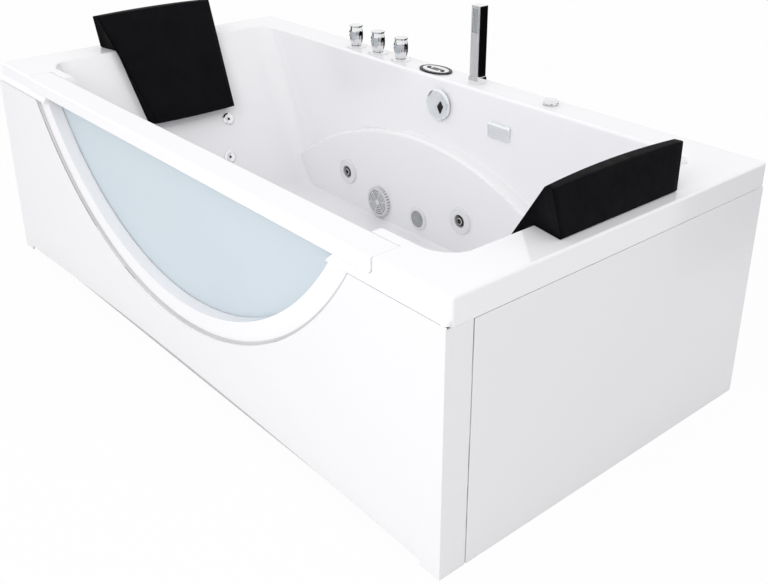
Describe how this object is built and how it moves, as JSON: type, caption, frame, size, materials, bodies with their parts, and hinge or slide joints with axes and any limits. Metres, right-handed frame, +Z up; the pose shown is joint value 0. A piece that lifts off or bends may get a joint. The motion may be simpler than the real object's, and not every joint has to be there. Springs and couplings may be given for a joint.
{
  "type": "jetted bathtub",
  "caption": "Rectangular jetted bathtub with an arched front window, hanging padded headrests, deck taps, stick hand shower and a pump under the basin.",
  "frame": {"origin": "on the floor, below the middle of the tub's outline", "axes": "+X from the left end to the right end as seen from the window side, +Y from the window to the wall side, +Z up"},
  "size_m": [1.8, 0.91, 0.756],
  "materials": {
    "acrylic": "glossy white acrylic",
    "window": "clear, faint blue tint",
    "seal": "matte translucent grey",
    "chrome": "polished",
    "steel": "satin grey, zinc coated",
    "board": "resin-bonded board",
    "padding": "matte, fine grain",
    "rubber": "matte",
    "black": "semi gloss",
    "display": "glossy",
    "grey_plastic": "matte",
    "white_pipe": "matte white",
    "pump_shell": "matte",
    "motor": "satin",
    "brass": "cast",
    "lens": "clear",
    "hose": "braided"
  },
  "bodies": {
    "tub": {"tub_shell": "acrylic", "window_glass": "window", "window_seal": "seal", "window_rail": "acrylic", "front_panel": "acrylic", "left_panel": "acrylic", "right_panel": "acrylic", "plinth_strip": "acrylic", "plinth_screws": "chrome", "panel_clips": "grey_plastic", "base_board": "board", "frame_long_rails": "steel", "frame_cross_rails": "steel", "frame_posts": "steel", "levelling_feet": "grey_plastic", "tap_flanges": "chrome", "mixer_body": "brass", "feed_pipe": "white_pipe", "control_bezel": "black", "control_pad": "chrome", "control_display": "display", "shower_holder": "chrome", "shower_hose": "hose", "air_valve": "chrome", "air_pipes": "white_pipe", "overflow_body": "chrome", "overflow_pipe": "white_pipe", "drain_flange": "chrome", "waste_trap": "white_pipe", "waterfall_spout": "chrome", "jet_flanges": "chrome", "jet_bodies": "white_pipe", "back_jets": "chrome", "suction_cover": "chrome", "suction_body": "white_pipe", "light_lens": "lens", "light_body": "chrome", "pump_motor": "motor", "pump_housing": "pump_shell", "pump_base": "pump_shell", "suction_pipe": "white_pipe", "pressure_pipes": "white_pipe", "control_box": "grey_plastic"},
    "left_rest": {"headrest_left": "padding", "headrest_suckers_left": "rubber"},
    "right_rest": {"headrest_right": "padding", "headrest_suckers_right": "rubber"},
    "cold_handle": {"tap_handle_cold": "chrome"},
    "hot_handle": {"tap_handle_hot": "chrome"},
    "diverter_handle": {"tap_handle_diverter": "chrome"},
    "handset": {"shower_handset": "chrome", "shower_spray_face": "grey_plastic"},
    "air_regulator": {"air_knob": "chrome"},
    "waste_knob": {"overflow_knob": "chrome"},
    "plug": {"drain_plug": "chrome"},
    "pump_button": {"button_pump": "black"},
    "light_button": {"button_light": "black"},
    "left_nozzle": {"jet_nozzle_left": "black"},
    "right_nozzle": {"jet_nozzle_right": "black"},
    "impeller": {"pump_impeller": "grey_plastic"}
  },
  "joints": [
    {"name": "left_rest_lift", "type": "slide", "parent": "tub", "child": "left_rest", "axis": [0, 0, 1], "range_m": [0, 0.3]},
    {"name": "right_rest_lift", "type": "slide", "parent": "tub", "child": "right_rest", "axis": [0, 0, 1], "range_m": [0, 0.3]},
    {"name": "cold_turn", "type": "hinge", "parent": "tub", "child": "cold_handle", "pos_m": [-0.395, 0.412, 0.59], "axis": [0, 0, 1], "range_deg": [0, 90]},
    {"name": "hot_turn", "type": "hinge", "parent": "tub", "child": "hot_handle", "pos_m": [-0.296, 0.412, 0.59], "axis": [0, 0, 1], "range_deg": [0, 90]},
    {"name": "diverter_turn", "type": "hinge", "parent": "tub", "child": "diverter_handle", "pos_m": [-0.197, 0.412, 0.59], "axis": [0, 0, 1], "range_deg": [-45, 45]},
    {"name": "handset_lift", "type": "slide", "parent": "tub", "child": "handset", "axis": [0, 0, 1], "range_m": [0, 0.25], "deforming": ["shower_hose"]},
    {"name": "air_turn", "type": "hinge", "parent": "tub", "child": "air_regulator", "pos_m": [0.352, 0.412, 0.56], "axis": [0, 0, 1], "range_deg": [0, 180]},
    {"name": "waste_turn", "type": "hinge", "parent": "tub", "child": "waste_knob", "pos_m": [0.019, 0.35, 0.489], "axis": [0, 1, 0], "range_deg": [0, 90]},
    {"name": "plug_lift", "type": "slide", "parent": "tub", "child": "plug", "axis": [0, 0, 1], "range_m": [0, 0.008]},
    {"name": "pump_press", "type": "slide", "parent": "tub", "child": "pump_button", "axis": [0, 0, -1], "range_m": [0, 0.001], "stiffness_N_per_m": 300},
    {"name": "light_press", "type": "slide", "parent": "tub", "child": "light_button", "axis": [0, 0, -1], "range_m": [0, 0.001], "stiffness_N_per_m": 300},
    {"name": "left_nozzle_tilt", "type": "hinge", "parent": "tub", "child": "left_nozzle", "pos_m": [-0.325, 0.33, 0.207], "axis": [0, 0, 1], "range_deg": [-15, 15]},
    {"name": "right_nozzle_tilt", "type": "hinge", "parent": "tub", "child": "right_nozzle", "pos_m": [0.15, 0.33, 0.207], "axis": [0, 0, 1], "range_deg": [-15, 15]},
    {"name": "impeller_spin", "type": "hinge", "parent": "tub", "child": "impeller", "pos_m": [0.765, 0.12, 0.154], "axis": [0, 1, 0], "continuous": true}
  ],
  "couplings": [
    {"joint": "plug_lift", "follows": "waste_turn", "m_per_rad": 0.005}
  ]
}
